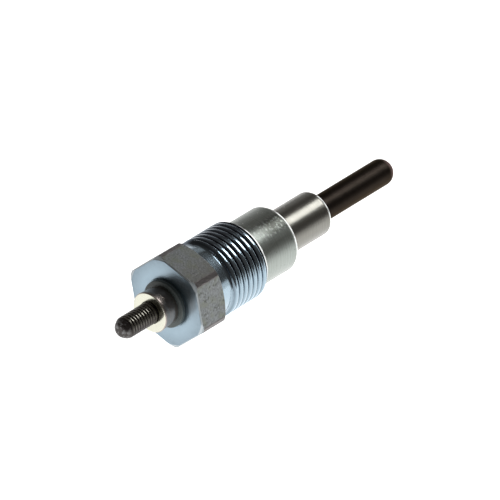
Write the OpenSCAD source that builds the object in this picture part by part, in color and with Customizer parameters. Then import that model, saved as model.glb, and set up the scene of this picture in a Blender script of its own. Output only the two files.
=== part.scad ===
// Diesel glow plug with a sheathed heating element.
// It lies on one flat of its hexagon, with its axis along X and the glowing tip towards +X.
// The origin is on the axis, at the middle of the body thread. Lengths are in millimetres.

/* [Hexagon] */
// Width across the flats
hex_af = 19; // [18.5:0.5:21]
// Length along the axis
hex_len = 8; // [6:0.5:14]
// How far the corners are trimmed at the terminal face, measured outwards from the axis
corner_trim_terminal = 1.1; // [0.5:0.1:1.3]
// How far the corners are trimmed at the thread side
corner_trim_thread = 1.4; // [0.8:0.1:1.6]
// Angle of both corner chamfers, measured from the face
corner_angle = 30; // [20:5:45]
// How far the bar's rounded corners stay inside sharp ones
corner_blunt = 0.2; // [0.1:0.05:0.3]

/* [Body thread] */
// Major diameter of the thread
thread_d = 18; // [16.5:0.5:20]
// Length of the thread with its lead-in
thread_len = 12.4; // [8:0.1:20]
// Length of the lead-in chamfer at the front of the thread
lead_len = 1.1; // [0.6:0.1:1.8]
// Depth of the lead-in chamfer
lead_depth = 0.9; // [0.5:0.05:1]
// Length of the plain neck between the hexagon and the thread
neck_len = 3.2; // [2:0.2:8]
// How far the neck lies below the thread's major diameter
neck_depth = 0.5; // [0.3:0.1:1]

/* [Shanks] */
// Diameter of the thick shank
shank_d = 15.2; // [13:0.1:16]
// Length of the thick shank
shank_len = 10.7; // [6:0.1:20]
// Chamfer at the front edge of the thick shank
shank_edge = 0.4; // [0.1:0.1:0.8]
// Diameter of the thin shank
pilot_d = 10.2; // [8.5:0.1:12]
// Length of the thin shank
pilot_len = 13.8; // [8:0.1:24]
// Chamfer at the front edge of the thin shank
pilot_edge = 0.35; // [0.1:0.05:0.6]

/* [Glow tube] */
// Outside diameter
tube_d = 6; // [5.7:0.1:7]
// Wall thickness
tube_wall = 0.7; // [0.5:0.05:0.8]
// Length that stands out of the thin shank
tube_out = 24.6; // [20:0.1:34]
// Length pressed into the shell
tube_seat = 16; // [10:0.5:20]

/* [Terminal] */
// Major diameter of the terminal thread
stud_d = 5; // [4.6:0.1:6]
// Length of stud that stands out of the nut
stud_out = 9.7; // [6:0.1:20]
// Depth of the taper at the end of the stud
stud_edge = 1; // [0.4:0.1:1.4]
// Length of the taper at the end of the stud
stud_taper = 1.7; // [0.8:0.1:2.5]
// Diameter of the stud's rod, on which the thread is rolled
rod_d = 4.5; // [4.1:0.1:4.6]
// Diameter of the round nut
nut_d = 9.3; // [8:0.1:11]
// Length of the round nut
nut_len = 4.4; // [3:0.1:8]
// Chamfer on the nut's front edge
nut_edge = 0.2; // [0.1:0.1:0.8]
// How far the nut's countersunk mouth clears the terminal thread
nut_mouth = 0.1; // [0.05:0.05:0.5]
// Diameter of the insulating washer
washer_d = 10.9; // [10:0.1:14]
// Thickness of the insulating washer's flange
washer_t = 1; // [0.6:0.1:3]
// Length of the washer's spigot in the shell
spigot_len = 3; // [2:0.5:6]

/* [Seals] */
// Thickness of the gaskets round the rod
gasket_t = 2; // [1.5:0.1:2.4]
// Length of the seal in the tube's mouth
heater_seal_len = 3; // [2:0.5:6]

/* [Element] */
// Diameter of the rod inside the tube
rod_tip_d = 2.6; // [2.4:0.1:3]
// Length of the rod past the front of the shell, up to the pin that holds the coil
rod_reach = 3; // [1:0.5:5]
// Length of the pin that holds the coil
pin_len = 2.4; // [1.5:0.1:3.5]
// Diameter of the coils at the middle of the wire
coil_d = 2.4; // [2:0.1:2.6]
// Diameter of the wire
wire_d = 0.4; // [0.3:0.05:0.5]
// Turns of the regulating coil
regulating_turns = 8; // [5:1:11]
// Turns of the heating coil
heating_turns = 11; // [6:1:14]
// Length of the heating coil, from the tube's closed end
heating_len = 9; // [8:0.5:11]

/* [Fits] */
// Clearance between pieces that slip together
slip = 0.05; // [0.02:0.01:0.1]
// Air gap between the rod and the shell's bore
rod_gap = 0.5; // [0.3:0.05:0.55]

/* [Hidden] */

// Faces round a turned piece, round the wire, and rings in each turn of a coil
turned_faces = 96;
wire_faces = 6;
rings_per_turn = 12;
// How far a cutting shape runs past the face that it opens
cut_past = 1;

// Radii
hex_corner_r = hex_af / 2 / cos(30);
blunt_corner_r = hex_corner_r - corner_blunt;
thread_r = thread_d / 2;
neck_r = thread_r - neck_depth;
shank_r = shank_d / 2;
pilot_r = pilot_d / 2;
tube_r = tube_d / 2;
tube_bore_r = tube_r - tube_wall;
stud_r = stud_d / 2;
rod_r = rod_d / 2;
rod_tip_r = rod_tip_d / 2;
wire_r = wire_d / 2;
coil_r = coil_d / 2;
pin_r = coil_r - wire_r - slip;
well_r = rod_r + gasket_t;

// Stations along the axis, from the terminal to the tip
x_thread = -thread_len / 2;
x_thread_end = thread_len / 2;
x_neck = x_thread - neck_len;
x_hex = x_neck - hex_len;
x_washer = x_hex - washer_t;
x_nut = x_washer - nut_len;
x_stud = x_nut - stud_out;
x_spigot = x_hex + spigot_len;
x_well = x_spigot + 2 * gasket_t;
x_shank = x_thread_end + shank_len;
x_pilot = x_shank + pilot_len;
x_tube = x_pilot - tube_seat;
x_seal = x_tube + heater_seal_len;
x_dome = x_pilot + tube_out - tube_r;
x_pin = x_pilot + rod_reach;
x_pin_end = x_pin + pin_len;

// The heating coil ends where its wire meets the inside of the tube's dome
dome_reach = tube_bore_r - wire_r - slip;
x_heating_end = x_dome + sqrt(dome_reach * dome_reach - coil_r * coil_r);
x_heating = x_heating_end - heating_len;
x_regulating = x_pin + wire_r + slip;

// Turns a flat outline about the axis: first coordinate outwards, second along X
module turned() {
    rotate([0, 90, 0]) rotate_extrude($fn = turned_faces) children();
}

// A turned ring with straight sides
module ring(inner_r, outer_r, x_from, x_to) {
    turned() translate([inner_r, x_from]) square([outer_r - inner_r, x_to - x_from]);
}

// Outline of a bar of radius r from x_from, with a round end centred at x_dome
module round_bar_outline(r, x_from) {
    translate([0, x_from]) square([r, x_dome - x_from]);
    intersection() {
        translate([0, x_dome]) circle(r, $fn = turned_faces);
        translate([0, x_dome]) square([r, r]);
    }
}

// One round sealing ring about the rod, its middle at x
module gasket(x) {
    turned() translate([rod_r + gasket_t / 2, x]) circle(d = gasket_t, $fn = turned_faces);
}

// Points round the wire of a coil, in the plane through the axis at one angle
function wire_ring(x, angle) = [
    for (j = [0 : wire_faces - 1])
        let (
            turn = 360 * j / wire_faces,
            r = coil_r + wire_r * cos(turn)
        )
        [x + wire_r * sin(turn), r * cos(angle), r * sin(angle)]
];

// A round wire wound from x_from to x_to
module coil(x_from, x_to, turns) {
    rings = turns * rings_per_turn;
    points = [
        for (i = [0 : rings])
            each wire_ring(x_from + (x_to - x_from) * i / rings, 360 * i / rings_per_turn)
    ];
    sides = [
        for (i = [0 : rings - 1], j = [0 : wire_faces - 1])
            let (
                a = i * wire_faces + j,
                b = i * wire_faces + (j + 1) % wire_faces
            )
            each [[a, a + wire_faces, b], [b, a + wire_faces, b + wire_faces]]
    ];
    first_end = [for (j = [0 : wire_faces - 1]) j];
    last_end = [for (j = [wire_faces - 1 : -1 : 0]) rings * wire_faces + j];
    polyhedron(points, concat(sides, [first_end, last_end]), convexity = 10);
}

// The shell's hexagon, with blunt corners that are turned off at both ends
module hexagon() {
    terminal_drop = (corner_trim_terminal - corner_blunt) * tan(corner_angle);
    thread_drop = (corner_trim_thread - corner_blunt) * tan(corner_angle);
    intersection() {
        translate([x_hex, 0, 0]) rotate([0, 90, 0]) rotate([0, 0, 30])
            cylinder(r = hex_corner_r, h = hex_len, $fn = 6);
        turned() polygon([
            [0, x_hex],
            [hex_corner_r - corner_trim_terminal, x_hex],
            [blunt_corner_r, x_hex + terminal_drop],
            [blunt_corner_r, x_neck - thread_drop],
            [hex_corner_r - corner_trim_thread, x_neck],
            [0, x_neck]
        ]);
    }
}

// Steel shell: hexagon, neck, thread and two shanks, bored through for the terminal and the tube
module plug_body() {
    color("LightSteelBlue") difference() {
        union() {
            hexagon();
            turned() polygon([
                [0, x_hex + hex_len / 2],
                [neck_r, x_hex + hex_len / 2],
                [neck_r, x_thread],
                [thread_r, x_thread + neck_depth],
                [thread_r, x_thread_end - lead_len],
                [thread_r - lead_depth, x_thread_end],
                [shank_r, x_thread_end],
                [shank_r, x_shank - shank_edge],
                [shank_r - shank_edge, x_shank],
                [pilot_r, x_shank],
                [pilot_r, x_pilot - pilot_edge],
                [pilot_r - pilot_edge, x_pilot],
                [0, x_pilot]
            ]);
        }
        turned() polygon([
            [0, x_hex - cut_past],
            [well_r, x_hex - cut_past],
            [well_r, x_well],
            [rod_r + rod_gap, x_well],
            [rod_r + rod_gap, x_tube],
            [tube_r, x_tube],
            [tube_r, x_pilot + cut_past],
            [0, x_pilot + cut_past]
        ]);
    }
}

// Heat-resistant tube with a closed round end
module glow_tube() {
    color("DimGray") turned() difference() {
        round_bar_outline(tube_r, x_tube);
        round_bar_outline(tube_bore_r, x_tube - cut_past);
    }
}

// Terminal stud: thread, rod, thinner rod in the tube and the pin that holds the coil
module terminal_stud() {
    color("DarkSlateGray") turned() polygon([
        [0, x_stud],
        [stud_r - stud_edge, x_stud],
        [stud_r, x_stud + stud_taper],
        [stud_r, x_nut],
        [rod_r, x_nut],
        [rod_r, x_tube],
        [rod_tip_r, x_tube],
        [rod_tip_r, x_pin],
        [pin_r, x_pin],
        [pin_r, x_pin_end],
        [0, x_pin_end]
    ]);
}

// Round nut, in mesh with the thread at the rod's diameter
module round_nut() {
    nut_r = nut_d / 2;
    mouth_r = stud_r + nut_mouth;
    color("Silver") turned() polygon([
        [rod_r, x_nut + mouth_r - rod_r],
        [mouth_r, x_nut],
        [nut_r - nut_edge, x_nut],
        [nut_r, x_nut + nut_edge],
        [nut_r, x_washer],
        [rod_r, x_washer]
    ]);
}

// Insulating washer with a spigot that centres it in the shell
module insulating_washer() {
    hole_r = stud_r + slip;
    color("DarkOliveGreen") union() {
        ring(hole_r, washer_d / 2, x_washer, x_hex);
        ring(hole_r, well_r - slip, x_washer, x_spigot);
    }
}

// First sealing ring, under the washer's spigot
module outer_gasket() {
    color("Black") gasket(x_spigot + gasket_t / 2);
}

// Second sealing ring, on the floor of the well
module inner_gasket() {
    color("Black") gasket(x_well - gasket_t / 2);
}

// Elastomer plug that closes the tube's mouth round the rod
module heater_seal() {
    color("SaddleBrown") ring(rod_tip_r, tube_bore_r, x_tube, x_seal);
}

// Rear coil, wound on the pin of the stud
module regulating_coil() {
    color("Silver") coil(x_regulating, x_heating, regulating_turns);
}

// Front coil, from the rear coil to the closed end of the tube
module heating_coil() {
    color("Goldenrod") coil(x_heating, x_heating_end, heating_turns);
}

// Magnesia packed in the tube: a sleeve round the coils and the rod, and a core inside the coils
module filling_powder() {
    color("WhiteSmoke") turned() difference() {
        round_bar_outline(tube_bore_r, x_seal);
        translate([0, x_seal - cut_past]) square([rod_tip_r, x_pin - x_seal + cut_past]);
        translate([0, x_pin - cut_past]) square([pin_r, x_pin_end - x_pin + cut_past]);
        translate([pin_r, x_pin]) square([wire_d + 2 * slip, x_dome + tube_r - x_pin]);
    }
}

plug_body();
glow_tube();
terminal_stud();
round_nut();
insulating_washer();
outer_gasket();
inner_gasket();
heater_seal();
regulating_coil();
heating_coil();
filling_powder();
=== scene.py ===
import math

import bmesh
import bpy
from mathutils import Matrix, Vector


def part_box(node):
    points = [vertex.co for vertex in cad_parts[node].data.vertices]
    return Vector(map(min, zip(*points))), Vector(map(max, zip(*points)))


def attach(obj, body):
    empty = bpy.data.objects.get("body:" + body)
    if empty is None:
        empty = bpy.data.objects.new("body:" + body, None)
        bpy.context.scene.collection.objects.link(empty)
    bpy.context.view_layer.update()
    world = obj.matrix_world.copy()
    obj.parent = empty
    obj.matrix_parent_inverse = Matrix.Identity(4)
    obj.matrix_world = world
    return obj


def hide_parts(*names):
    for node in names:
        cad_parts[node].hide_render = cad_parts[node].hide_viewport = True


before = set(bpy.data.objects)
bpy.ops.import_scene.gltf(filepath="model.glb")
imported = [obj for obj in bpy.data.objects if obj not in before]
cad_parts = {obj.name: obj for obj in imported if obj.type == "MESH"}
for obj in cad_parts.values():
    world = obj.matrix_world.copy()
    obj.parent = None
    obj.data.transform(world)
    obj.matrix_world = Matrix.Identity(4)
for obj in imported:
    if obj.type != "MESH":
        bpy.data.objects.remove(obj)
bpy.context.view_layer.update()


# Terminal stud: one steel rod with a rolled M5 thread, blackened in an oxide bath.
# It runs through the shell into the tube, where its thin end carries the coils.
# Outlines here and below are points along the axis and out from it, in millimetres.
def outline_wire(points):
    """A wire of straight edges. A point is (x, r), and may add the size and steps of a rounded corner."""
    wire = bmesh.new()
    verts = [wire.verts.new((point[0], 0, point[1])) for point in points]
    for here, there in zip(verts, verts[1:] + verts[:1]):
        if here.co.z > 0 or there.co.z > 0:
            wire.edges.new((here, there))
    rounded = {}
    for vert, point in zip(verts, points):
        if len(point) > 2:
            rounded.setdefault(point[2:], []).append(vert)
    for (size, steps), corners in rounded.items():
        bmesh.ops.bevel(
            wire, geom=corners, offset=size, segments=steps, profile=0.5, affect="VERTICES", material=-1
        )
    return wire


def add_rows(wire, x_from, x_to, r_above, spacing):
    """Splits the outline's long edges between two stations, where a thread or a flat needs many rows."""
    for edge in list(wire.edges):
        a, b = (vert.co for vert in edge.verts)
        cuts = int((a - b).length / spacing)
        if min(a.x, b.x) > x_from and max(a.x, b.x) < x_to and min(a.z, b.z) > r_above and cuts:
            bmesh.ops.subdivide_edges(wire, edges=[edge], cuts=cuts)


def spin_round(wire, columns):
    """Turns the outline right round the axis and closes it."""
    bmesh.ops.spin(
        wire, geom=wire.verts[:] + wire.edges[:], cent=(0, 0, 0), axis=(1, 0, 0),
        angle=math.tau, steps=columns, use_merge=True,
    )
    bmesh.ops.remove_doubles(wire, verts=wire.verts, dist=1e-4)
    bmesh.ops.recalc_face_normals(wire, faces=wire.faces)


def cut_thread(solid, x_from, x_to, major_r, pitch, runout, start=0):
    """Sinks a right-hand 60 degree thread with rounded crests and roots into a turned solid."""
    depth = 0.5 * pitch
    crest = 0.235 * pitch
    soft = 0.09 * pitch
    for vert in solid.verts:
        x, y, z = vert.co
        r = math.hypot(y, z)
        if x_from < x < x_to and r > major_r - depth:
            turn = math.atan2(z, y) / math.tau
            off_crest = abs(((x - start) / pitch - turn) % 1 - 0.5) * pitch
            flank = (off_crest - crest) * math.sqrt(3)
            sunk = (flank + math.hypot(flank, soft)) / 2
            sunk = (sunk + depth - math.hypot(sunk - depth, soft)) / 2
            sunk *= min(1, (x - x_from) / runout, (x_to - x) / runout)
            inward = min(r, major_r - sunk) / r
            vert.co = (x, y * inward, z * inward)


def finished_piece(solid, name, sharp=35):
    """Makes the object, in metres, with its place in its mesh and hard edges where faces turn sharply."""
    bmesh.ops.scale(solid, vec=(0.001, 0.001, 0.001), verts=solid.verts)
    mesh = bpy.data.meshes.new(name)
    solid.to_mesh(mesh)
    solid.free()
    mesh.shade_smooth()
    mesh.set_sharp_from_angle(angle=math.radians(sharp))
    piece = bpy.data.objects.new(name, mesh)
    bpy.context.scene.collection.objects.link(piece)
    return piece


class Field:
    """A value or colour that changes over a surface: one output of a shader node."""

    def __init__(self, tree, socket):
        self.tree = tree
        self.socket = socket

    def node(self, kind, settings, inputs, output=0):
        """Adds a node with its settings, and with the values or links of its sockets."""
        made = self.tree.nodes.new(kind)
        for name, value in settings.items():
            setattr(made, name, value)
        for name, value in inputs.items():
            entry = made.inputs[name]
            if isinstance(value, Field):
                self.tree.links.new(value.socket, entry)
            else:
                entry.default_value = (*value, 1) if entry.type == "RGBA" else value
        return Field(self.tree, made.outputs[output])

    def math(self, operation, first, second):
        return self.node("ShaderNodeMath", {"operation": operation}, {0: first, 1: second})

    def __add__(self, other):
        return self.math("ADD", self, other)

    def __radd__(self, other):
        return self.math("ADD", other, self)

    def __sub__(self, other):
        return self.math("SUBTRACT", self, other)

    def __rsub__(self, other):
        return self.math("SUBTRACT", other, self)

    def __mul__(self, other):
        return self.math("MULTIPLY", self, other)

    def __rmul__(self, other):
        return self.math("MULTIPLY", other, self)

    def __pow__(self, other):
        return self.math("POWER", self, other)

    def part(self, axis):
        """One coordinate of a place."""
        return self.node("ShaderNodeSeparateXYZ", {}, {0: self}, axis)

    def step(self, start, end):
        """Rises from 0 at start to 1 at end."""
        return self.node("ShaderNodeMapRange", {}, {"Value": self, "From Min": start, "From Max": end})

    def between(self, start, end, soft=0.04):
        """Is 1 from start to end, with soft edges, and 0 outside."""
        return self.step(start, start + soft) * (1 - self.step(end - soft, end))

    def noise(self, per_mm, detail=2, stretch=(1, 1, 1)):
        """Clouds round a place, about so many to the millimetre."""
        spread = self.node("ShaderNodeVectorMath", {"operation": "MULTIPLY"}, {0: self, 1: stretch})
        return self.node("ShaderNodeTexNoise", {}, {"Vector": spread, "Scale": per_mm, "Detail": detail})

    def lines(self, per_mm, detail=2):
        """Uneven lines that cross this distance."""
        return self.node(
            "ShaderNodeTexNoise", {"noise_dimensions": "1D"}, {"W": self, "Scale": per_mm, "Detail": detail}
        )

    def mix(self, at_zero, at_one):
        """A colour between two others, by this value."""
        return self.node("ShaderNodeMix", {"data_type": "RGBA"}, {0: self, 6: at_zero, 7: at_one}, 2)

    def bump(self, depth):
        """A surface whose height is this value, with its depth in millimetres."""
        return self.node("ShaderNodeBump", {}, {"Height": self, "Distance": depth / 1000})


def new_finish(name, **constants):
    """A material, the shader that takes its fields, and Object coordinates in millimetres."""
    material = bpy.data.materials.new(name)
    material.use_nodes = True
    tree = material.node_tree
    shader = tree.nodes["Principled BSDF"]
    for socket, value in constants.items():
        shader.inputs[socket.replace("_", " ")].default_value = value
    metres = Field(tree, tree.nodes.new("ShaderNodeTexCoord").outputs["Object"])
    place = metres.node("ShaderNodeVectorMath", {"operation": "SCALE"}, {0: metres, "Scale": 1000})
    return material, shader, place


def feed(shader, **fields):
    """Links fields to the shader's sockets."""
    for socket, field in fields.items():
        field.tree.links.new(field.socket, shader.inputs[socket.replace("_", " ")])


def off_axis(place):
    """Distance from the plug's axis."""
    y, z = place.part("Y"), place.part("Z")
    return (y * y + z * z) ** 0.5


stud_low, stud_high = (corner * 1000 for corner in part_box("terminal_stud"))
nut_low, nut_high = (corner * 1000 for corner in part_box("round_nut"))
tube_low, tube_high = (corner * 1000 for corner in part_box("glow_tube"))
stud_r = stud_high.y
stud_pitch = 0.8
stud_end_r = stud_r - 1
stud_end_length = 1.7
rod_r = 2.25
rod_tip_r = 1.3
pin_r = 0.95
pin_length = 2.4
pin_x = stud_high.x - pin_length
stud_solid = outline_wire([
    (stud_low.x, 0),
    (stud_low.x, stud_end_r, 0.7, 6),
    (stud_low.x + stud_end_length, stud_r, 0.4, 4),
    (nut_low.x, stud_r),
    (nut_low.x, rod_r),
    (tube_low.x, rod_r),
    (tube_low.x, rod_tip_r),
    (pin_x, rod_tip_r),
    (pin_x, pin_r),
    (stud_high.x, pin_r),
    (stud_high.x, 0),
])
add_rows(stud_solid, stud_low.x - 0.1, nut_low.x + 0.1, r_above=1.5, spacing=0.04)
spin_round(stud_solid, columns=96)
cut_thread(stud_solid, stud_low.x - 0.3, nut_low.x + 0.6, stud_r, stud_pitch, runout=0.5)
stud = finished_piece(stud_solid, "blackened_stud")

black_oxide, shader, place = new_finish("black_oxide", Metallic=0.8)
oxide_dark = (0.036, 0.031, 0.031)
oxide_light = (0.062, 0.056, 0.052)
worn_steel_and_sheen = (0.17, 0.165, 0.14)
scuffed_steel = (0.21, 0.21, 0.21)
stud_cloud = place.noise(0.9, 4)
# Crests lightened to worn steel on the upper side only: partly wear, partly painted sheen where the light
# falls, with the lower crests left dark.
crest_wear_and_top_sheen = off_axis(place).step(stud_r - 0.1, stud_r - 0.02) * place.part("Z").step(0.5, 1.8)
near_end = 1 - place.part("X").step(stud_low.x + 0.5, stud_low.x + 1.5)
end_wear = place.noise(1.3).step(0.5, 0.62) * near_end
stud_skin = crest_wear_and_top_sheen.mix(stud_cloud.mix(oxide_dark, oxide_light), worn_steel_and_sheen)
feed(
    shader,
    Base_Color=end_wear.mix(stud_skin, scuffed_steel),
    Roughness=0.36 + 0.12 * stud_cloud - 0.16 * crest_wear_and_top_sheen + 0.2 * end_wear,
    Normal=place.noise(9, 3).bump(0.01),
)
stud.data.materials.append(black_oxide)
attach(stud, "root")
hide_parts("terminal_stud")


# Regulating coil: bright drawn wire whose resistance climbs as it warms.
# It is wound tight on the pin at the end of the stud and welded there.
def dress_node(name, material):
    """Gives a CAD piece its finish."""
    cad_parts[name].data.materials.clear()
    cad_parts[name].data.materials.append(material)


drawn_wire, shader, place = new_finish("drawn_wire", Metallic=1)
wire_dull = (0.5, 0.48, 0.45)
wire_bright = (0.66, 0.64, 0.6)
wire_cloud = place.noise(2.2, 3)
feed(
    shader,
    Base_Color=wire_cloud.mix(wire_dull, wire_bright),
    Roughness=0.28 + 0.2 * wire_cloud,
    Normal=place.noise(14).bump(0.006),
)
dress_node("regulating_coil", drawn_wire)


# Heating coil: iron, chromium and aluminium wire, tanned by its first heating.
# It carries on from the regulating coil and ends at the closed tip of the tube.
tanned_wire, shader, place = new_finish("tanned_wire", Metallic=1)
tan_dark = (0.42, 0.34, 0.25)
tan_light = (0.55, 0.47, 0.36)
tan_cloud = place.noise(1.4, 3)
feed(
    shader,
    Base_Color=tan_cloud.mix(tan_dark, tan_light),
    Roughness=0.36 + 0.2 * tan_cloud,
    Normal=place.noise(14).bump(0.006),
)
dress_node("heating_coil", tanned_wire)


# Filling powder: magnesia, packed hard round the coils when the tube is swaged.
# It is a dense chalk-white mass that insulates the wire and carries its heat.
packed_magnesia, shader, place = new_finish("packed_magnesia", Roughness=0.95)
chalk_grey = (0.78, 0.77, 0.73)
chalk_white = (0.9, 0.89, 0.86)
feed(
    shader,
    Base_Color=place.noise(6, 5).mix(chalk_grey, chalk_white),
    Normal=place.noise(11, 4).bump(0.03),
)
dress_node("filling_powder", packed_magnesia)


# Heater seal: a red-brown heat-proof rubber plug in the mouth of the tube.
# It centres the stud and keeps the powder in.
brown_rubber, shader, place = new_finish("brown_rubber", Roughness=0.7)
rubber_brown = (0.2, 0.09, 0.05)
rubber_red = (0.28, 0.14, 0.08)
feed(
    shader,
    Base_Color=place.noise(2.5, 4).mix(rubber_brown, rubber_red),
    Normal=place.noise(9, 3).bump(0.02),
)
dress_node("heater_seal", brown_rubber)


# Glow tube: a drawn heat-resistant steel tube with a closed round tip, swaged over its filling.
# Its first firing left it brown-black, with faint draw lines along it; its lighter reddish tip is partly
# heat tint and partly painted highlight.
# It is pressed into the front of the shell.
tube_r = tube_high.y
tube_wall = 0.7
tube_bore_r = tube_r - tube_wall
tube_bore_x = tube_high.x - tube_wall
dome_share = 0.97
tube_solid = outline_wire([
    (tube_low.x, tube_bore_r),
    (tube_low.x, tube_r, 0.15, 3),
    (tube_high.x, tube_r, dome_share * tube_r, 20),
    (tube_high.x, 0),
    (tube_bore_x, 0),
    (tube_bore_x, tube_bore_r, dome_share * tube_bore_r, 10),
])
spin_round(tube_solid, columns=128)
tube = finished_piece(tube_solid, "fired_tube")

fired_steel, shader, place = new_finish("fired_steel", Metallic=1, Specular_Tint=(0.62, 0.58, 0.53, 1))
fired_dark = (0.017, 0.0135, 0.011)
fired_light = (0.027, 0.022, 0.0185)
fired_red_and_highlight = (0.13, 0.09, 0.092)
draw_lines = place.noise(1, 3, stretch=(0.12, 6, 6))
fired_skin = place.noise(0.5, 4).mix(fired_dark, fired_light)
# Lighter reddish tip: partly heat tint, partly painted highlight.
at_tip = place.part("X").step(tube_high.x - 2.6, tube_high.x - 1.4)
feed(
    shader,
    Base_Color=at_tip.mix(fired_skin, fired_red_and_highlight),
    Roughness=0.36 + 0.12 * draw_lines + 0.08 * at_tip,
    Normal=draw_lines.bump(0.012),
)
tube.data.materials.append(fired_steel)
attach(tube, "root")
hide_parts("glow_tube")


# Plug body: the steel shell, turned from drawn hexagon bar, with an M18 thread rolled on and zinc plating.
# The bar's flats keep their dull drawn skin; the face, neck and thread are bright and bluish,
# and both shanks show fine turning marks. It is bored through for the terminal and the tube.
def mill_hexagon(solid, columns, face_x, back_x, across_flats, corner_cut, rim):
    """Brings a turned blank to six flats with narrow flattened corners and a broken edge round the face."""
    sixth = math.pi / 3
    apothem = across_flats / 2
    corner_flat = apothem / math.cos(sixth / 2) - corner_cut
    corner_half = math.atan(corner_cut * math.tan(sixth) / corner_flat)
    slack = 0.05
    corner_columns = 4
    half_flat_columns = columns / 12
    crowding = math.log(corner_half / (sixth / 2)) / math.log(corner_columns / half_flat_columns)
    for vert in solid.verts:
        x, y, z = vert.co
        r = math.hypot(y, z)
        if x < back_x + slack and r > apothem - slack:
            angle = math.atan2(z, y)
            off_corner = (angle + sixth / 2) % sixth - sixth / 2
            near_corner = (abs(off_corner) / (sixth / 2)) ** crowding * sixth / 2
            angle += math.copysign(near_corner, off_corner) - off_corner
            reach = min(corner_flat / math.cos(near_corner), apothem / math.cos(sixth / 2 - near_corner))
            r = min(r, reach - max(0, rim - (x - face_x)))
            vert.co = (x, r * math.cos(angle), r * math.sin(angle))


body_low, body_high = (corner * 1000 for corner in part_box("plug_body"))
hex_af = body_high.z - body_low.z
hex_corner_r = hex_af / 2 / math.cos(math.pi / 6)
hex_length = 8
hex_rim = 0.25
blank_r = hex_corner_r - 0.2
face_cone_r = hex_corner_r - 1.1
face_cone_length = 0.52
back_cone_r = hex_corner_r - 1.4
back_cone_length = 0.693
neck_r = 8.5
neck_length = 3.2
thread_r = 9
thread_pitch = 1.5
thread_length = 12.4
shank_r = 7.6
shank_length = 10.7
pilot_r = 5.1
well_r = 4.25
well_depth = 7
rod_bore_r = 2.75
face_x = body_low.x
well_x = face_x + well_depth
neck_x = face_x + hex_length
thread_x = neck_x + neck_length
shank_x = thread_x + thread_length
seat_x = shank_x + shank_length
front_x = body_high.x
body_columns = 240
body_solid = outline_wire([
    (face_x, well_r, 0.15, 2),
    (face_x, face_cone_r),
    (face_x + face_cone_length, blank_r),
    (neck_x - back_cone_length, blank_r),
    (neck_x, back_cone_r),
    (neck_x, neck_r + 0.3, 0.15, 4),
    (thread_x + 0.5, neck_r - 0.25, 0.3, 5),
    (thread_x + 1.5, thread_r),
    (shank_x - 1, thread_r),
    (shank_x - 0.6, thread_r - 0.6),
    (shank_x - 0.05, thread_r - 0.8),
    (shank_x, thread_r - 0.95),
    (shank_x, shank_r, 0.2, 4),
    (seat_x - 0.62, shank_r),
    (seat_x - 0.12, shank_r - 0.19),
    (seat_x, shank_r - 0.4),
    (seat_x, pilot_r, 0.2, 4),
    (front_x - 0.5, pilot_r),
    (front_x - 0.1, pilot_r - 0.15),
    (front_x, pilot_r - 0.35),
    (front_x, tube_r, 0.06, 2),
    (tube_low.x, tube_r),
    (tube_low.x, rod_bore_r),
    (well_x, rod_bore_r),
    (well_x, well_r),
])
add_rows(body_solid, face_x - 0.1, face_x + 0.6, r_above=9, spacing=0.08)
add_rows(body_solid, face_x + 0.5, neck_x - 0.6, r_above=9, spacing=0.6)
add_rows(body_solid, neck_x - 0.8, neck_x + 0.1, r_above=9.3, spacing=0.08)
add_rows(body_solid, neck_x - 0.1, thread_x + 0.4, r_above=8.2, spacing=0.1)
add_rows(body_solid, thread_x + 0.2, shank_x + 0.1, r_above=7.9, spacing=0.06)
add_rows(body_solid, shank_x, front_x - 0.45, r_above=5, spacing=0.4)
spin_round(body_solid, body_columns)
mill_hexagon(body_solid, body_columns, face_x, neck_x, hex_af, corner_cut=0.3, rim=hex_rim)
cut_thread(body_solid, thread_x - 0.5, shank_x - 0.45, thread_r, thread_pitch, runout=0.5, start=0.12)
body = finished_piece(body_solid, "zinc_shell", sharp=28)

# Where each finish of the shell lies
zinc_plate, shader, place = new_finish("zinc_plate", Metallic=1)
along, side, height = place.part("X"), place.part("Y"), place.part("Z")
outward = off_axis(place)
past_rim = along.step(face_x + hex_rim, face_x + hex_rim + 0.08)
on_face = 1 - along.step(face_x + 0.02, face_x + 0.06)
on_flats = past_rim * (1 - along.step(neck_x - 0.1, neck_x))
on_right_flat = 1 - side.step(-5.6, -5.2)
on_corners = outward.step(hex_corner_r - 0.48, hex_corner_r - 0.3)
on_cone = (outward - math.sqrt(3) * (along - face_x)).step(face_cone_r - 0.12, face_cone_r - 0.04)
on_rim = 1 - on_face - past_rim + on_cone * along.between(face_x + 0.3, face_x + 0.6)
on_thread = along.step(thread_x, thread_x + 1.2) * (1 - along.step(shank_x - 0.65, shank_x - 0.6))
in_grooves = (1 - outward.step(thread_r - 0.35, thread_r - 0.05)) * on_thread
on_shanks = along.step(shank_x + 0.05, shank_x + 0.1)
on_pilot = along.step(seat_x, seat_x + 0.1)
on_edges = along.between(shank_x - 0.62, shank_x) + along.between(seat_x - 0.64, seat_x)
on_edges = on_edges + along.step(front_x - 0.52, front_x - 0.48)

# Bluish plate of the face, neck and thread, with painted shade in the grooves and on the thread's far side
blue_dim = (0.25, 0.325, 0.38)
blue_bright = (0.3, 0.385, 0.445)
groove_shade_dark = (0.05, 0.06, 0.075)
painted_shade_blue = (0.06, 0.065, 0.085)
face_grey = (0.17, 0.215, 0.25)
zinc_cloud = place.noise(0.6, 4)
# Painted shade in the thread's grooves, weaker towards the lower side.
groove_shade = in_grooves * (0.45 + 0.55 * side.step(-8.5, -4.5))
# Painted shade on the thread's far, upper side.
painted_thread_shade = on_thread * side.step(-1, 4) * 0.6
face_shade = on_face * outward.step(7, 10.5) * (0.3 + place.noise(1.2, 3))
blue_zinc = groove_shade.mix(zinc_cloud.mix(blue_dim, blue_bright), groove_shade_dark)
blue_zinc = painted_thread_shade.mix(blue_zinc, painted_shade_blue)
blue_zinc = face_shade.mix(blue_zinc, face_grey)
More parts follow.
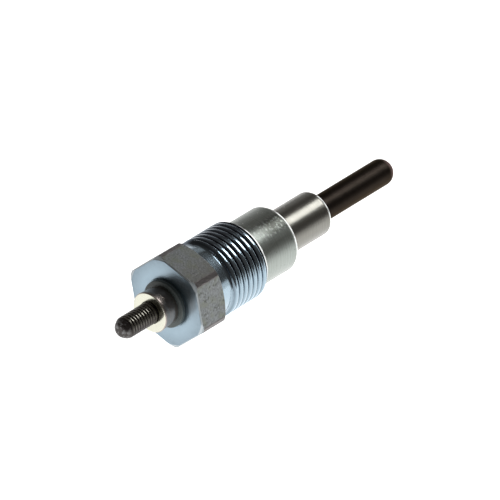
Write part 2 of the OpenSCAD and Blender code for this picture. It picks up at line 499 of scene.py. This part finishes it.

# Turned shanks: fine bands, painted shade over the highlight on top of the thick one, specks, pits and
# painted highlights on the edges
shank_dim = (0.225, 0.245, 0.228)
shank_bright = (0.305, 0.335, 0.313)
pilot_dim = (0.155, 0.153, 0.138)
pilot_bright = (0.215, 0.212, 0.19)
painted_shade_grey = (0.045, 0.046, 0.04)
speck_white = (0.75, 0.76, 0.74)
pit_dark = (0.12, 0.12, 0.11)
painted_edge_highlight = (0.6, 0.62, 0.61)
turning = along.lines(5, 4)
turned_bands = turning.step(0.3, 0.7)
# Painted shade on top of the thick shank, patchy and growing towards its front, that dims its highlight.
on_shank_top = height.step(6.4, 7) * (1 - side.step(0.2, 1.2)) * on_shanks * (1 - on_pilot)
shade_growth = 0.25 + 0.65 * along.step(shank_x + 0.5, shank_x + 6)
painted_shank_shade = on_shank_top * shade_growth * place.noise(1.6, 3).step(0.25, 0.5)
light_specks = place.noise(2.6, 1).step(0.7, 0.74) * on_shanks * side.step(0, 3)
dark_pits = place.noise(2.1, 2).step(0.7, 0.74) * on_shanks
shank_zinc = painted_shank_shade.mix(turned_bands.mix(shank_dim, shank_bright), painted_shade_grey)
pilot_zinc = turned_bands.mix(pilot_dim, pilot_bright)
plain_zinc = on_shanks.mix(blue_zinc, on_pilot.mix(shank_zinc, pilot_zinc))
plain_zinc = light_specks.mix(plain_zinc, speck_white)
plain_zinc = dark_pits.mix(plain_zinc, pit_dark)
# Painted highlight: a lighter colour on the chamfered edges at the thread's end and on the shanks.
plain_zinc = on_edges.mix(plain_zinc, painted_edge_highlight)

# Drawn skin of the flats: grey grain, greenish stains, dark specks, browner corner facets and painted shade
# on the top flat towards one corner
skin_dim = (0.128, 0.137, 0.138)
skin_light = (0.225, 0.239, 0.245)
stain_green = (0.166, 0.178, 0.155)
speck_dark = (0.092, 0.098, 0.088)
shade_brown = (0.118, 0.115, 0.107)
corner_brown = (0.12, 0.112, 0.11)
# Painted highlight: a lighter grey on the broken edge round the hexagon's face.
painted_rim_highlight = (0.42, 0.46, 0.48)
skin_grain = place.noise(2.2, 6).step(0.3, 0.7)
skin_stain = place.noise(0.5, 3).step(0.45, 0.65)
skin_specks = place.noise(1.9, 3).step(0.54, 0.68) * (0.4 + 0.6 * on_right_flat)
corner_shade = (1 - side.step(-5.4, 1)) * height.step(9.2, 9.4) * 0.7
drawn_skin = skin_stain.mix(skin_grain.mix(skin_dim, skin_light), stain_green)
drawn_skin = skin_specks.mix(drawn_skin, speck_dark)
drawn_skin = corner_shade.mix(drawn_skin, shade_brown)
drawn_skin = on_corners.mix(drawn_skin, corner_brown)
feed(
    shader,
    Base_Color=on_rim.mix(on_flats.mix(plain_zinc, drawn_skin), painted_rim_highlight),
    Roughness=0.16 + 0.18 * on_flats + 0.34 * on_rim + 0.1 * on_face + 0.05 * zinc_cloud
    + on_shanks * (0.15 - 0.04 * on_pilot) * (1 - on_edges),
    Normal=(
        turning * on_shanks * (1.2 - 0.7 * on_pilot) * (1 - on_edges)
        + outward.lines(6) * on_face * 0.6
        + on_flats * (skin_grain * 0.5 - skin_specks * 0.5)
    ).bump(0.03),
)
body.data.materials.append(zinc_plate)
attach(body, "root")
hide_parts("plug_body")


# Outer and inner gasket: two black rubber rings, squeezed round the stud in the shell's well.
# They seal the terminal end against fuel and oil.
black_rubber, shader, place = new_finish("black_rubber", Roughness=0.6)
rubber_black = (0.022, 0.022, 0.022)
rubber_grey = (0.04, 0.04, 0.038)
feed(
    shader,
    Base_Color=place.noise(3, 4).mix(rubber_black, rubber_grey),
    Normal=place.noise(8, 3).bump(0.015),
)
dress_node("outer_gasket", black_rubber)
dress_node("inner_gasket", black_rubber)


# Insulating washer: a dark green-grey moulding of glass-filled resin with a dull skin.
# Its spigot centres it in the shell, and the nut clamps it against the hexagon's face.
washer_low, washer_high = (corner * 1000 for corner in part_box("insulating_washer"))
washer_r = washer_high.y
washer_play = 0.05
washer_hole_r = stud_r + washer_play
spigot_r = well_r - washer_play
washer_solid = outline_wire([
    (washer_low.x, washer_hole_r),
    (washer_low.x, washer_r, 0.2, 4),
    (face_x, washer_r, 0.06, 2),
    (face_x, spigot_r),
    (washer_high.x, spigot_r, 0.2, 3),
    (washer_high.x, washer_hole_r),
])
spin_round(washer_solid, columns=128)
washer = finished_piece(washer_solid, "resin_washer")

filled_resin, shader, place = new_finish("filled_resin")
resin_dark = (0.046, 0.06, 0.058)
resin_light = (0.08, 0.1, 0.097)
resin_grain = place.noise(3.5, 5)
feed(
    shader,
    Base_Color=resin_grain.mix(resin_dark, resin_light),
    Roughness=0.42 + 0.25 * resin_grain,
    Normal=place.noise(7, 4).bump(0.02),
)
washer.data.materials.append(filled_resin)
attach(washer, "root")
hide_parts("insulating_washer")


# Round nut: turned brass with a bright nickel plate, a slight taper and two fine grooves round its side.
# It is screwed down the stud and clamps the washer and the seals.
nut_r = nut_high.y
nut_mouth_r = stud_r + 0.1
nut_back_r = nut_r - 0.34
nut_taper = (nut_r - nut_back_r) / (nut_high.x - nut_low.x)
nut_chamfer = 0.2
groove_half = 0.13
groove_depth = 0.032
nut_outline = [
    (nut_low.x + nut_mouth_r - rod_r, rod_r),
    (nut_low.x, nut_mouth_r, 0.06, 2),
    (nut_low.x, nut_r - nut_chamfer, 0.06, 2),
    (nut_low.x + nut_chamfer, nut_r),
]
for groove_x in (1.6, 2.25):
    for x, sunk in ((groove_x - groove_half, 0), (groove_x, groove_depth), (groove_x + groove_half, 0)):
        nut_outline.append((nut_low.x + x, nut_r - nut_taper * x - sunk))
nut_outline += [(nut_high.x, nut_back_r, 0.15, 3), (nut_high.x, rod_r)]
nut_solid = outline_wire(nut_outline)
spin_round(nut_solid, columns=160)
nut = finished_piece(nut_solid, "nickel_nut")

nickel_plate, shader, place = new_finish("nickel_plate", Metallic=1)
face_dim = (0.56, 0.56, 0.47)
face_bright = (0.62, 0.62, 0.53)
# The side takes a darker copy of the plate than the face: partly a duller finish, partly painted shade.
side_shaded_dim = (0.3, 0.262, 0.24)
side_shaded_bright = (0.38, 0.335, 0.31)
nickel_cloud = place.noise(0.8, 3)
on_nut_side = place.part("X").step(nut_low.x + 0.02, nut_low.x + 0.06)
nut_face = nickel_cloud.mix(face_dim, face_bright)
nut_side = nickel_cloud.mix(side_shaded_dim, side_shaded_bright)
feed(
    shader,
    Base_Color=on_nut_side.mix(nut_face, nut_side),
    Roughness=0.14 + 0.08 * nickel_cloud + 0.14 * on_nut_side,
    Normal=(off_axis(place).lines(9) + place.part("X").lines(9)).bump(0.004),
)
nut.data.materials.append(nickel_plate)
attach(nut, "root")
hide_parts("round_nut")


# Floor: a plain white sheet that glows with painted light of its own, so that hardly a shadow shows.
# Its glow fades to the side, and beyond the top and left of the picture, so that the metal has
# something dark to mirror. The plug lies on it on one flat of its hexagon.
floor_solid = bmesh.new()
bmesh.ops.create_grid(floor_solid, x_segments=1, y_segments=1, size=6000)
bmesh.ops.translate(floor_solid, vec=(0, 0, body_low.z), verts=floor_solid.verts)
floor = finished_piece(floor_solid, "floor_sheet")

white_sheet, shader, place = new_finish("white_sheet", Roughness=0.9, Emission_Strength=1.5)
sheet_grey = (0.86, 0.86, 0.86)
sheet_white = (0.9, 0.9, 0.9)
full_glow = (1, 1, 1)
side_glow = (0.55, 0.55, 0.55)
top_glow = (0.16, 0.16, 0.17)
left_glow = (0.06, 0.06, 0.065)
sheet_x, sheet_y = place.part("X"), place.part("Y")
towards_top = 0.397 * sheet_x + 0.587 * sheet_y
towards_left = 0.721 * sheet_y - 0.653 * sheet_x
sheet_glow = sheet_y.step(-5, 35).mix(full_glow, side_glow)
sheet_glow = towards_top.step(66, 74).mix(sheet_glow, top_glow)
sheet_glow = towards_left.step(50, 95).mix(sheet_glow, left_glow)
feed(
    shader,
    Base_Color=place.noise(0.01, 2).mix(sheet_grey, sheet_white),
    Emission_Color=sheet_glow,
)
floor.data.materials.append(white_sheet)


# Light: a small bright box above and beyond the tip, and weak cards beyond the tip, low on both sides,
# and behind the terminal, where one lights the rim of the hexagon's face.
# The room is dim above the sheet, which gives the bright metal its dark bands.
def soft_box(name, direction, distance, width, height, radiance):
    """An area light that faces the plug. Its power follows from its area and how bright its face looks."""
    lamp = bpy.data.lights.new(name, "AREA")
    lamp.shape = "RECTANGLE"
    lamp.size = width
    lamp.size_y = height
    lamp.energy = radiance * math.pi * width * height
    box = bpy.data.objects.new(name, lamp)
    towards = Vector(direction).normalized()
    box.location = towards * distance
    box.rotation_euler = towards.to_track_quat("Z", "Y").to_euler()
    bpy.context.scene.collection.objects.link(box)


soft_box("key_box", (0.6455, 0, 0.757), distance=0.7, width=0.31, height=0.17, radiance=10)
soft_box("front_card", (0.977, 0.09, 0.19), distance=0.8, width=0.58, height=0.32, radiance=1.8)
soft_box("side_card", (0.6455, -0.755, 0.1), distance=1, width=1.2, height=0.16, radiance=1.2)
soft_box("low_card", (0.64, 0.74, 0.2), distance=1, width=0.5, height=0.3, radiance=0.35)
soft_box("rim_card", (-0.67, 0.368, 0.646), distance=1, width=0.3, height=0.3, radiance=0.5)
room_grey = (0.1, 0.09, 0.083, 1)
room = bpy.data.worlds.new("dim_room")
room.use_nodes = True
room.node_tree.nodes["Background"].inputs["Color"].default_value = room_grey
bpy.context.scene.world = room
bpy.context.scene.view_settings.view_transform = "Standard"


# Camera: a long lens that looks down along the plug from the terminal side, tilted as in the picture.
# The plug's axis rises to the right and runs away from the camera. Distances here are in metres.
camera_distance = 4.4
frame_width = 0.1064
camera_azimuth = math.radians(-60.3)
camera_elevation = math.radians(42)
camera_roll = math.radians(18.25)
aim = Vector((0.00998, 0.0002, 0.00027))
lens = bpy.data.cameras.new("long_lens")
lens.sensor_width = 36
lens.lens = lens.sensor_width * camera_distance / frame_width
camera = bpy.data.objects.new("camera", lens)
back = Vector((
    math.cos(camera_elevation) * math.sin(camera_azimuth),
    -math.cos(camera_elevation) * math.cos(camera_azimuth),
    math.sin(camera_elevation),
))
turned = back.to_track_quat("Z", "Y").to_matrix() @ Matrix.Rotation(camera_roll, 3, "Z")
camera.matrix_world = Matrix.Translation(aim + back * camera_distance) @ turned.to_4x4()
bpy.context.scene.collection.objects.link(camera)
bpy.context.scene.camera = camera
